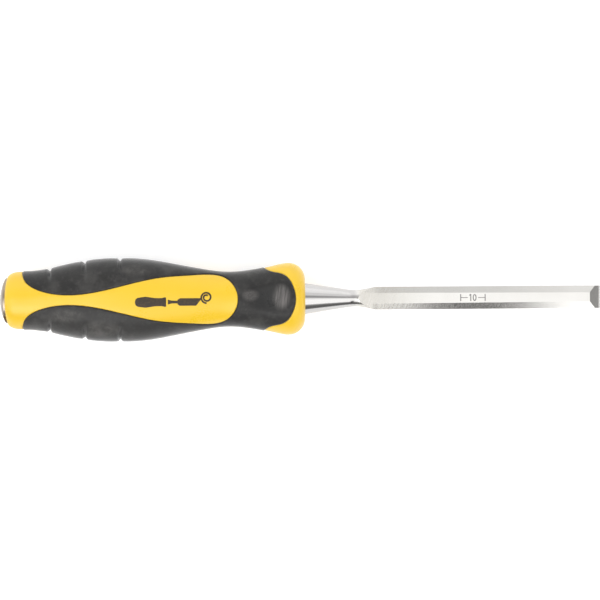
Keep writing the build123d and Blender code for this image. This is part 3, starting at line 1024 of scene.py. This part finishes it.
# Height of the camera over the floor and the point it looks straight down on, in metres, and its turn, in
# degrees
CAMERA_HEIGHT = 0.6
CAMERA_OVER = (-0.0011, -0.00058)
CAMERA_TURN = -0.38
# Its focal length and the width of its sensor, in millimetres
CAMERA_LENS = 79.9
CAMERA_SENSOR = 36.0

# The light comes from directions (x, y, z). Its angle is measured from overhead about the tool's axis, in
# degrees, positive towards -Y. Below the horizon the tent goes on as at a z of HORIZON.
HORIZON = 0.02
# The tent's brightness against the angle
TENT = [
    (-90, 1.42),
    (-52, 1.42),
    (-47, 0.92),
    (-38, 0.92),
    (-34, 1.0),
    (-29, 0.85),
    (-20, 0.58),
    (-13, 0.42),
    (-8, 0.7),
    (-2.5, 1.45),
    (3, 1.45),
    (8, 1.85),
    (33, 1.85),
    (37, 1.62),
    (45, 1.62),
    (50, 0.6),
    (60, 0.28),
    (70, 0.18),
    (80, 0.2),
    (90, 0.6),
]
TENT_TOP = max(level for _, level in TENT)
# Patches of the tent's wall: a window of x, a window of the angle, and the share of the tent's light that a
# dark patch takes, or the light that a lamp adds. Windows are (low, high, softness), and None leaves an end
# open.
STAND = ((0.168, 0.2335, 0.027), (37.0, 60.0, 6.0), 0.92)
DARK_CORNER = ((0.42, None, 0.16), (None, -55.0, 10.0), 0.35)
# The lamps are for the highlight on the butt, the one behind the dish, the blade's end, and its two sides.
LAMPS = [
    ((-0.34, -0.14, 0.08), (24.0, 48.0, 10.0), 3.8),
    ((-0.42, -0.26, 0.06), (-8.0, 10.0, 6.0), 1.8),
    ((0.55, None, 0.13), (55.0, 85.0, 8.0), 0.55),
    ((0.28, None, 0.08), (None, -30.0, 15.0), 0.25),
    ((0.266, None, 0.028), (38.0, 45.0, 4.0), 0.28),
]
# The dark end of the tent past the cutting edge: windows of x and y, and its share
FAR_END = ((0.85, 0.96, 0.02), (-0.25, 0.25, 0.1), 0.72)
# The dark round patch of the camera: its radius, from where it is gone to where it is full, and its share
CAMERA_RADIUS = (0.1, 0.05)
CAMERA_SHARE = 0.8


def window(tree, value, low, high, soft):
    """1 for values from low to high, eased to 0 over soft beyond them. An end that is None is open."""
    eased = [] if low is None else [remap(tree, value, low - soft, low)]
    eased += [] if high is None else [remap(tree, value, high + soft, high)]
    return times(tree, *eased)


def wall_patch(tree, first, second, first_window, second_window, strength):
    """A patch of the tent's wall: strength where two values are both in their windows."""
    return times(tree, window(tree, first, *first_window), window(tree, second, *second_window), strength)


def light_tent():
    """A white tent around the tool, with dark seams, a stand and the camera in it, and some lamps."""
    world = bpy.data.worlds.new("light_tent")
    bpy.context.scene.world = world
    world.use_nodes = True
    tree = world.node_tree
    tree.nodes.clear()
    x, y, z = node(tree, "SeparateXYZ", {0: node(tree, "TexCoord").outputs["Generated"]}).outputs
    above = maths(tree, "MAXIMUM", z, HORIZON)
    angle = maths(tree, "DEGREES", maths(tree, "ARCTAN2", times(tree, y, -1.0), above))
    ramp = node(tree, "ValToRGB", {0: times(tree, add(tree, angle, 90.0), 1 / 180)})
    stops = ramp.color_ramp.elements
    for degrees, level in TENT:
        at_end = degrees in (TENT[0][0], TENT[-1][0])
        stop = stops[0 if degrees < 0 else -1] if at_end else stops.new((degrees + 90) / 180)
        stop.color = (*[level / TENT_TOP] * 3, 1)
    from_overhead = maths(tree, "POWER", add(tree, times(tree, x, x), times(tree, y, y)), 0.5)
    dark = [wall_patch(tree, x, angle, *STAND), wall_patch(tree, x, y, *FAR_END)]
    dark.append(times(tree, remap(tree, from_overhead, *CAMERA_RADIUS), CAMERA_SHARE))
    dark.append(wall_patch(tree, x, angle, *DARK_CORNER))
    left = maths(tree, "SUBTRACT", 1.0, add(tree, *dark), clamp=True)
    lamps = [wall_patch(tree, x, angle, *lamp) for lamp in LAMPS]
    strength = add(tree, times(tree, left, ramp.outputs[0], TENT_TOP), *lamps)
    background = node(tree, "Background", {"Color": (1, 1, 1), "Strength": strength})
    output = tree.nodes.new("ShaderNodeOutputWorld")
    tree.links.new(background.outputs[0], output.inputs[0])


def pale_floor():
    """A matt white sheet, faintly lit from below as on a light table."""
    glow = {"Emission_Color": (1, 1, 1), "Emission_Strength": FLOOR_GLOW}
    material, tree, shader, place = new_material("white_sheet", **glow)
    grain = noise(tree, place, 0.9, 4.0)
    colour = mixed(tree, grain, *SHEET)
    link_shader(tree, shader, colour, remap(tree, grain, 0.2, 0.8, 0.8, 0.9), bump(tree, grain, 0.01))
    corners = [(x * FLOOR_HALF, y * FLOOR_HALF, 0) for x, y in ((-1, -1), (1, -1), (1, 1), (-1, 1))]
    mesh = bpy.data.meshes.new("floor")
    mesh.from_pydata(corners, [], [(0, 1, 2, 3)])
    mesh.materials.append(material)
    floor = bpy.data.objects.new("floor", mesh)
    bpy.context.scene.collection.objects.link(floor)


def overhead_camera():
    """The camera, which looks straight down."""
    data = bpy.data.cameras.new("camera")
    data.sensor_width = CAMERA_SENSOR
    data.lens = CAMERA_LENS
    camera = bpy.data.objects.new("camera", data)
    camera.location = (*CAMERA_OVER, CAMERA_HEIGHT)
    camera.rotation_euler = (0, 0, math.radians(CAMERA_TURN))
    bpy.context.scene.collection.objects.link(camera)
    bpy.context.scene.camera = camera


light_tent()
pale_floor()
overhead_camera()
bpy.context.scene.view_settings.view_transform = "Standard"
